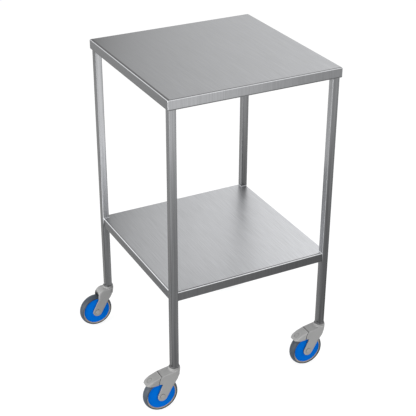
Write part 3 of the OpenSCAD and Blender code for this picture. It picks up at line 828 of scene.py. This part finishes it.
# Round beads at equal steps along a path, each a little smaller by chance
def repeatTree():
    tree = bpy.data.node_groups.new("repeatAlongPath", "GeometryNodeTree")
    sockets = {"Geometry": "NodeSocketGeometry", "Step": "NodeSocketFloat", "Radius": "NodeSocketFloat",
               "Flatness": "NodeSocketFloat", "Unevenness": "NodeSocketFloat", "Seed": "NodeSocketInt",
               "Material": "NodeSocketMaterial"}
    for name, kind in sockets.items():
        tree.interface.new_socket(name, in_out="INPUT", socket_type=kind)
    tree.interface.new_socket("Geometry", in_out="OUTPUT", socket_type="NodeSocketGeometry")
    given = addNode(tree, "NodeGroupInput").outputs
    path = addNode(tree, "GeometryNodeMeshToCurve")
    points = addNode(tree, "GeometryNodeCurveToPoints", mode="LENGTH")
    bead = addNode(tree, "GeometryNodeMeshUVSphere")
    for name, count in weldLook["beadMesh"].items():
        bead.inputs[name].default_value = count
    least = addNode(tree, "ShaderNodeMath", operation="SUBTRACT")
    least.inputs[0].default_value = 1.0
    spread = addNode(tree, "FunctionNodeRandomValue", data_type="FLOAT")
    scale = addNode(tree, "ShaderNodeVectorMath", operation="SCALE")
    flat = addNode(tree, "ShaderNodeCombineXYZ")
    flat.inputs["X"].default_value = 1.0
    flat.inputs["Y"].default_value = 1.0
    copies = addNode(tree, "GeometryNodeInstanceOnPoints")
    real = addNode(tree, "GeometryNodeRealizeInstances")
    smooth = addNode(tree, "GeometryNodeSetShadeSmooth")
    dress = addNode(tree, "GeometryNodeSetMaterial")
    links = [
        (given["Geometry"], path.inputs["Mesh"]), (path.outputs["Curve"], points.inputs["Curve"]),
        (given["Step"], points.inputs["Length"]), (given["Radius"], bead.inputs["Radius"]),
        (given["Unevenness"], least.inputs[1]), (least.outputs[0], spread.inputs[2]),
        (given["Seed"], spread.inputs["Seed"]), (given["Flatness"], flat.inputs["Z"]),
        (flat.outputs[0], scale.inputs[0]), (spread.outputs[1], scale.inputs["Scale"]),
        (points.outputs["Points"], copies.inputs["Points"]),
        (bead.outputs["Mesh"], copies.inputs["Instance"]),
        (scale.outputs[0], copies.inputs["Scale"]), (copies.outputs[0], real.inputs[0]),
        (real.outputs[0], smooth.inputs["Geometry"]), (smooth.outputs[0], dress.inputs["Geometry"]),
        (given["Material"], dress.inputs["Material"]),
        (dress.outputs[0], addNode(tree, "NodeGroupOutput").inputs["Geometry"]),
    ]
    for source, target in links:
        plug(tree, source, target)
    return tree


def runAlong(pieceName, paths, bead, material, repeatAlongPath):
    mesh = bpy.data.meshes.new(pieceName)
    points = [point for path in paths for point in path]
    edges, start = [], 0
    for path in paths:
        edges += [(start + i, start + i + 1) for i in range(len(path) - 1)]
        start += len(path)
    mesh.from_pydata(points, edges, [])
    piece = bpy.data.objects.new(pieceName, mesh)
    bpy.context.scene.collection.objects.link(piece)
    repeat = piece.modifiers.new("repeat", "NODES")
    repeat.node_group = repeatAlongPath
    values = {**bead, "Unevenness": weldLook["unevenness"], "Seed": weldLook["seed"], "Material": material}
    for item in repeatAlongPath.interface.items_tree:
        if item.in_out == "INPUT" and item.name in values:
            repeat[item.identifier] = values[item.name]
    bakeModifiers(piece)
    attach(piece, "root")
    print("stage:", pieceName, len(piece.data.polygons), "faces")


# Along the two inner faces of a leg
def legPath(corner, z):
    low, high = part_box("leg_" + corner)
    sideX = 1 if corner[1] == "l" else -1
    sideY = 1 if corner[0] == "f" else -1
    out = weldLook["gap"] / 2
    innerX = (high.x + out) if sideX > 0 else (low.x - out)
    innerY = (high.y + out) if sideY > 0 else (low.y - out)
    farX = (low.x + weldLook["legEnd"]) if sideX > 0 else (high.x - weldLook["legEnd"])
    farY = (low.y + weldLook["legEnd"]) if sideY > 0 else (high.y - weldLook["legEnd"])
    return [(farX, innerY, z), (innerX, innerY, z), (innerX, farY, z)]


def makeWelds():
    look = weldLook
    repeatAlongPath = repeatTree()
    weldSteel = plainSteel("weldSteel")
    for name, sheet in (("shelfWelds", shelfHigh.z), ("topWelds", topHigh.z)):
        z = sheet - look["sheet"] - look["bead"]["Radius"] * look["beadSink"]
        paths = [legPath(corner, z) for corner in allCorners]
        runAlong(name, paths, look["bead"], weldSteel, repeatAlongPath)
    paths = [legPath(corner, shelfHigh.z) for corner in allCorners]
    # The shelf's rim round each leg: bright beads whose tone is a painted highlight
    runAlong("shelfRims", paths, look["rim"], plainSteel("rimSteelHighlight"), repeatAlongPath)
    for name in ("top_stiffener", "shelf_stiffener"):
        low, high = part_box(name)
        middleY = (low.y + high.y) / 2
        inset = (high.y - low.y) / 2 - look["flangeMiddle"]
        z = high.z - look["sheet"]
        ends = (low.x + look["channelEnd"], high.x - look["channelEnd"])
        paths = [[(x, middleY + side * inset, z) for x in ends] for side in (-1, 1)]
        runAlong("spotWelds_" + name.split("_")[0], paths, look["spot"], weldSteel, repeatAlongPath)


def makeFloor():
    far = stageLook["floorReach"]
    mesh = bpy.data.meshes.new("floor")
    mesh.from_pydata([(-far, -far, 0), (far, -far, 0), (far, far, 0), (-far, far, 0)], [], [(0, 1, 2, 3)])
    floor = bpy.data.objects.new("floor", mesh)
    bpy.context.scene.collection.objects.link(floor)
    material, tree, shader = newMaterial("floorPale")
    shader.inputs["Base Color"].default_value = (*[stageLook["floorTone"]] * 3, 1)
    shader.inputs["Roughness"].default_value = 1.0
    shader.inputs["Specular IOR Level"].default_value = 0.0
    shader.inputs["Emission Color"].default_value = (1, 1, 1, 1)
    glow = math2(tree, "MULTIPLY", whiteRays(tree), stageLook["floorGlow"])
    plug(tree, glow, shader.inputs["Emission Strength"])
    mesh.materials.append(material)


def makeWorld():
    world = bpy.data.worlds.new("studio")
    world.use_nodes = True
    tree = world.node_tree
    background = tree.nodes["Background"]
    background.inputs["Color"].default_value = (1, 1, 1, 1)
    level = stageLook["surround"]
    strength = math2(tree, "ADD", math2(tree, "MULTIPLY", whiteRays(tree), 1.0 - level), level)
    plug(tree, strength, background.inputs["Strength"])
    bpy.context.scene.world = world
    bpy.context.scene.view_settings.view_transform = "Standard"


def makeLamps():
    foot = Vector((tableMiddle.x, tableMiddle.y, 0))
    for name, (place, size, power) in stageLook["lamps"].items():
        data = bpy.data.lights.new(name, "AREA")
        data.shape = "SQUARE"
        data.size = size
        data.energy = power
        lamp = bpy.data.objects.new(name, data)
        lamp.location = foot + Vector(place)
        aim = foot + Vector(stageLook["aim"]) - lamp.location
        lamp.rotation_euler = aim.to_track_quat("-Z", "Y").to_euler()
        lamp.visible_glossy = name in stageLook["mirrored"]
        bpy.context.scene.collection.objects.link(lamp)


makeCamera()
makeWorld()
makeLamps()
makeFloor()
print("stage: camera, lamps and floor")
dressNodes()
print("stage: nodes dressed")
makeMouldings()
makeCollars()
makeWelds()
print("stage: pieces made")
